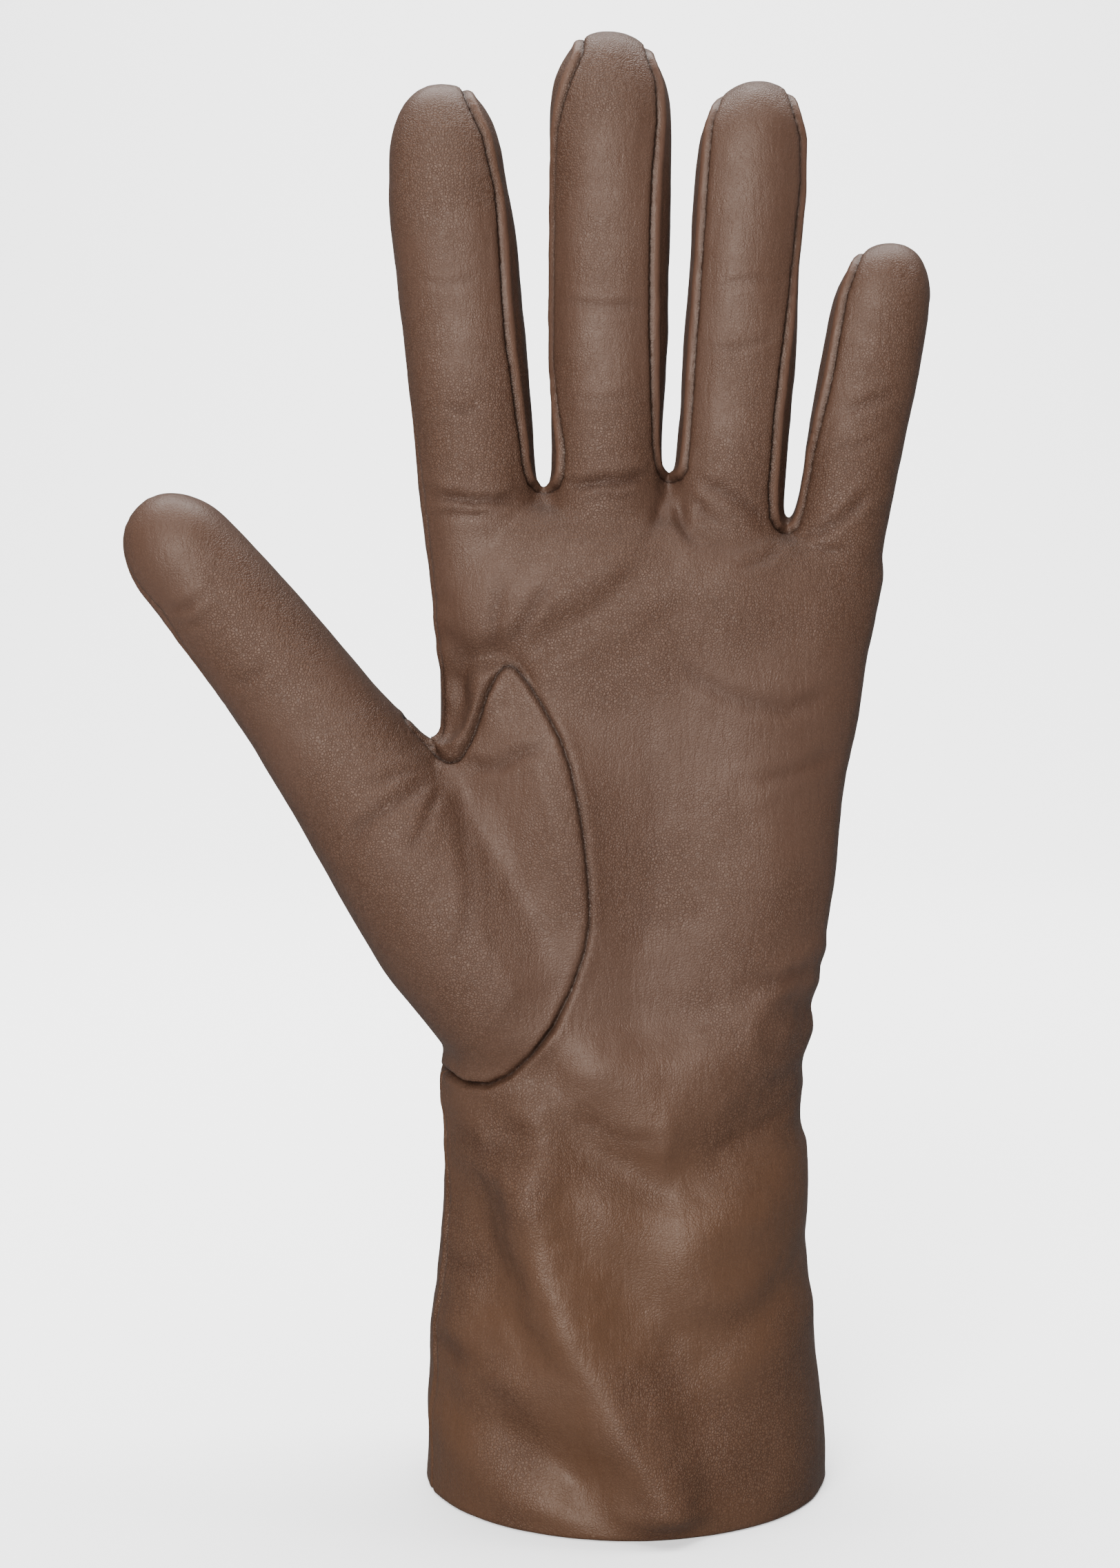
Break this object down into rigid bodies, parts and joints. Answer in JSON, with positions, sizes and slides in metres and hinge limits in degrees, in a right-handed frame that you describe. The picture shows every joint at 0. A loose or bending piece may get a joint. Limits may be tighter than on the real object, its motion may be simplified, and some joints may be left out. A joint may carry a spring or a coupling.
{
  "type": "leather dress glove",
  "caption": "Left-hand leather dress glove with a long cuff, inseam fourchette fingers, set-in thumb and knitted lining, standing open on its cuff.",
  "frame": {"origin": "centre of the cuff opening, in the plane of the hem", "axes": "+Z from the cuff opening to the fingertips, palm facing -Y, thumb pointing to -X"},
  "size_m": [0.1564, 0.068, 0.2803],
  "materials": {
    "dress_leather": "soft satin nappa, fine pebble grain, warm mid-brown",
    "lining_knit": "matt fine knit, brown",
    "sewing_thread": "matt dark brown thread"
  },
  "bodies": {
    "cuff": {"cuff_lining": "lining_knit", "cuff_side_thread": "sewing_thread", "cuff_trank": "dress_leather", "hem_facing": "dress_leather", "hem_thread": "sewing_thread", "wrist_lining": "lining_knit", "wrist_side_thread": "sewing_thread", "wrist_trank": "dress_leather"},
    "hand": {"hand_lining": "lining_knit", "hand_side_thread": "sewing_thread", "hand_trank": "dress_leather", "index_middle_crotch_fourchette": "dress_leather", "middle_ring_crotch_fourchette": "dress_leather", "ring_little_crotch_fourchette": "dress_leather", "thumb_root_leather": "dress_leather", "thumb_seam_thread": "sewing_thread"},
    "index_base": {"index_base_fourchette": "dress_leather", "index_base_lining": "lining_knit", "index_base_side_thread": "sewing_thread", "index_base_trank": "dress_leather"},
    "index_mid": {"index_mid_fourchette": "dress_leather", "index_mid_lining": "lining_knit", "index_mid_side_thread": "sewing_thread", "index_mid_trank": "dress_leather"},
    "index_tip": {"index_tip_fourchette": "dress_leather", "index_tip_lining": "lining_knit", "index_tip_side_thread": "sewing_thread", "index_tip_trank": "dress_leather"},
    "middle_base": {"middle_base_fourchette": "dress_leather", "middle_base_lining": "lining_knit", "middle_base_trank": "dress_leather"},
    "middle_mid": {"middle_mid_fourchette": "dress_leather", "middle_mid_lining": "lining_knit", "middle_mid_trank": "dress_leather"},
    "middle_tip": {"middle_tip_fourchette": "dress_leather", "middle_tip_lining": "lining_knit", "middle_tip_trank": "dress_leather"},
    "ring_base": {"ring_base_fourchette": "dress_leather", "ring_base_lining": "lining_knit", "ring_base_trank": "dress_leather"},
    "ring_mid": {"ring_mid_fourchette": "dress_leather", "ring_mid_lining": "lining_knit", "ring_mid_trank": "dress_leather"},
    "ring_tip": {"ring_tip_fourchette": "dress_leather", "ring_tip_lining": "lining_knit", "ring_tip_trank": "dress_leather"},
    "little_base": {"little_base_fourchette": "dress_leather", "little_base_lining": "lining_knit", "little_base_trank": "dress_leather"},
    "little_mid": {"little_mid_fourchette": "dress_leather", "little_mid_lining": "lining_knit", "little_mid_trank": "dress_leather"},
    "little_tip": {"little_tip_fourchette": "dress_leather", "little_tip_lining": "lining_knit", "little_tip_trank": "dress_leather"},
    "thumb_base": {"thumb_base_leather": "dress_leather", "thumb_base_lining": "lining_knit"},
    "thumb_tip": {"thumb_tip_leather": "dress_leather", "thumb_tip_lining": "lining_knit"}
  },
  "joints": [
    {"name": "wrist_bend", "type": "hinge", "parent": "cuff", "child": "hand", "pos_m": [0, 0, 0.058], "axis": [1, 0, 0], "range_deg": [-35, 50], "deforming": ["wrist_trank", "wrist_lining", "wrist_side_thread"]},
    {"name": "index_knuckle_bend", "type": "hinge", "parent": "hand", "child": "index_base", "pos_m": [-0.02849, -0.01028, 0.19966], "axis": [1, 0, 0], "range_deg": [0, 75]},
    {"name": "index_middle_bend", "type": "hinge", "parent": "index_base", "child": "index_mid", "pos_m": [-0.03108, -0.01, 0.22207], "axis": [0.9934, 0, 0.1149], "range_deg": [0, 85]},
    {"name": "index_end_bend", "type": "hinge", "parent": "index_mid", "child": "index_tip", "pos_m": [-0.03392, -0.01, 0.24662], "axis": [0.9934, 0, 0.1149], "range_deg": [0, 55]},
    {"name": "middle_knuckle_bend", "type": "hinge", "parent": "hand", "child": "middle_base", "pos_m": [-0.0036, -0.01049, 0.201], "axis": [1, 0, 0], "range_deg": [0, 75]},
    {"name": "middle_middle_bend", "type": "hinge", "parent": "middle_base", "child": "middle_mid", "pos_m": [-0.0036, -0.0102, 0.22656], "axis": [1, 0, 0], "range_deg": [0, 85]},
    {"name": "middle_end_bend", "type": "hinge", "parent": "middle_mid", "child": "middle_tip", "pos_m": [-0.0036, -0.0102, 0.25386], "axis": [1, 0, 0], "range_deg": [0, 55]},
    {"name": "ring_knuckle_bend", "type": "hinge", "parent": "hand", "child": "ring_base", "pos_m": [0.02041, -0.00997, 0.20039], "axis": [1, 0, 0], "range_deg": [0, 75]},
    {"name": "ring_middle_bend", "type": "hinge", "parent": "ring_base", "child": "ring_mid", "pos_m": [0.02194, -0.0097, 0.22286], "axis": [0.9977, 0, -0.068], "range_deg": [0, 85]},
    {"name": "ring_end_bend", "type": "hinge", "parent": "ring_mid", "child": "ring_tip", "pos_m": [0.02362, -0.0097, 0.24748], "axis": [0.9977, 0, -0.068], "range_deg": [0, 55]},
    {"name": "little_knuckle_bend", "type": "hinge", "parent": "hand", "child": "little_base", "pos_m": [0.04158, -0.00884, 0.19078], "axis": [1, 0, 0], "range_deg": [0, 75]},
    {"name": "little_middle_bend", "type": "hinge", "parent": "little_base", "child": "little_mid", "pos_m": [0.04446, -0.0086, 0.20522], "axis": [0.9806, 0, -0.1959], "range_deg": [0, 85]},
    {"name": "little_end_bend", "type": "hinge", "parent": "little_mid", "child": "little_tip", "pos_m": [0.04797, -0.0086, 0.22279], "axis": [0.9806, 0, -0.1959], "range_deg": [0, 55]},
    {"name": "thumb_knuckle_bend", "type": "hinge", "parent": "hand", "child": "thumb_base", "pos_m": [-0.05363, -0.01346, 0.14115], "axis": [0.7729, 0.1736, 0.6104], "range_deg": [0, 45]},
    {"name": "thumb_end_bend", "type": "hinge", "parent": "thumb_base", "child": "thumb_tip", "pos_m": [-0.07778, -0.01011, 0.17049], "axis": [0.7729, 0.1736, 0.6104], "range_deg": [0, 60]}
  ]
}
